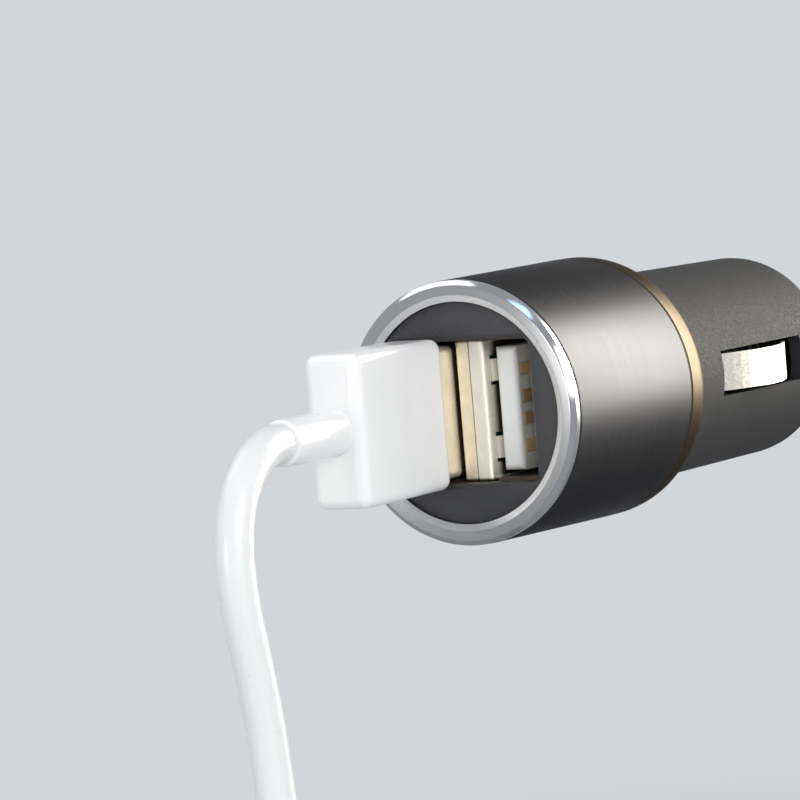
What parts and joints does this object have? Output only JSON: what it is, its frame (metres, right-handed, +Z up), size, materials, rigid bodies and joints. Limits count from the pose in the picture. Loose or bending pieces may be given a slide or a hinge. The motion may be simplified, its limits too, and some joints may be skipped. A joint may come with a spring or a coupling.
{
  "type": "vehicle socket usb charger",
  "caption": "Round metal-cased charger for a vehicle's 12 volt socket, with rectangular data-plug ports in a ringed face and a white charging lead plugged in.",
  "frame": {"origin": "centre of the shoulder that stops against the rim of the vehicle's socket, on the charger's axis", "axes": "+Y along the charger's axis into the socket, towards the nose contact; +Z up along the ports' long side; +X to the right seen from the front"},
  "size_m": [0.0248, 0.105, 0.108],
  "materials": {
    "turned_aluminium": "turned and brushed, polished chamfers",
    "gunmetal_sleeve": "dark anodised, brushed round the axis",
    "gunmetal_collar": "satin",
    "black_plastic": "fine spark-eroded grain",
    "nickel_plate": "nickel plated",
    "spring_steel": "bright drawn",
    "brass": "bright",
    "port_steel": "nickel plated, pale gold tone",
    "white_nylon": "satin",
    "copper_contact": "copper alloy",
    "board_laminate": "solder mask",
    "ferrite": "sintered",
    "copper_wire": "enamelled",
    "capacitor_sleeve": "shrunk sleeve",
    "chip_epoxy": "moulded",
    "ceramic": "matt",
    "plug_steel": "nickel plated",
    "white_gloss": "glossy moulded",
    "white_cable": "smooth soft jacket",
    "tie_band": "woven band"
  },
  "bodies": {
    "root": {"bezel_ring": "turned_aluminium", "face_insert": "black_plastic", "head_sleeve": "gunmetal_sleeve", "rear_collar": "gunmetal_collar", "socket_barrel": "black_plastic", "nose_cap": "black_plastic", "tip_spring": "spring_steel", "spring_seat": "brass", "port_shell_right": "port_steel", "port_shell_left": "port_steel", "port_tongue_right": "white_nylon", "port_tongue_left": "white_nylon", "port_contacts_right": "copper_contact", "port_contacts_left": "copper_contact", "circuit_board": "board_laminate", "power_inductor": "ferrite", "inductor_winding": "copper_wire", "input_capacitor": "capacitor_sleeve", "output_capacitor": "capacitor_sleeve", "charge_controller": "chip_epoxy", "port_controller": "chip_epoxy", "rectifier_diode": "chip_epoxy", "small_components": "ceramic", "plug_shell": "plug_steel", "plug_insulator": "white_nylon", "plug_contacts": "brass", "plug_housing": "white_gloss", "cable_collar": "white_gloss", "cable_run": "white_cable", "cable_coil": "white_cable", "cable_tie": "tie_band", "cable_tail": "white_cable", "end_collar": "white_gloss", "end_plug_body": "white_gloss", "end_plug_shell": "plug_steel"},
    "nose_contact": {"tip_contact": "nickel_plate"},
    "right_spring": {"ground_spring_right": "nickel_plate"},
    "left_spring": {"ground_spring_left": "nickel_plate"}
  },
  "joints": [
    {"name": "nose_contact_press", "type": "slide", "parent": "root", "child": "nose_contact", "axis": [0, -1, 0], "range_m": [0, 0.002], "stiffness_N_per_m": 1500, "springref_m": -0.0015, "deforming": ["tip_spring"]},
    {"name": "ground_spring_right_flex", "type": "hinge", "parent": "root", "child": "right_spring", "pos_m": [0.009, 0.009, 0], "axis": [0, 0, 1], "range_deg": [0, 5.5], "stiffness_Nm_per_rad": 0.5},
    {"name": "ground_spring_left_flex", "type": "hinge", "parent": "root", "child": "left_spring", "pos_m": [-0.009, 0.009, 0], "axis": [0, 0, -1], "range_deg": [0, 5.5], "stiffness_Nm_per_rad": 0.5}
  ]
}
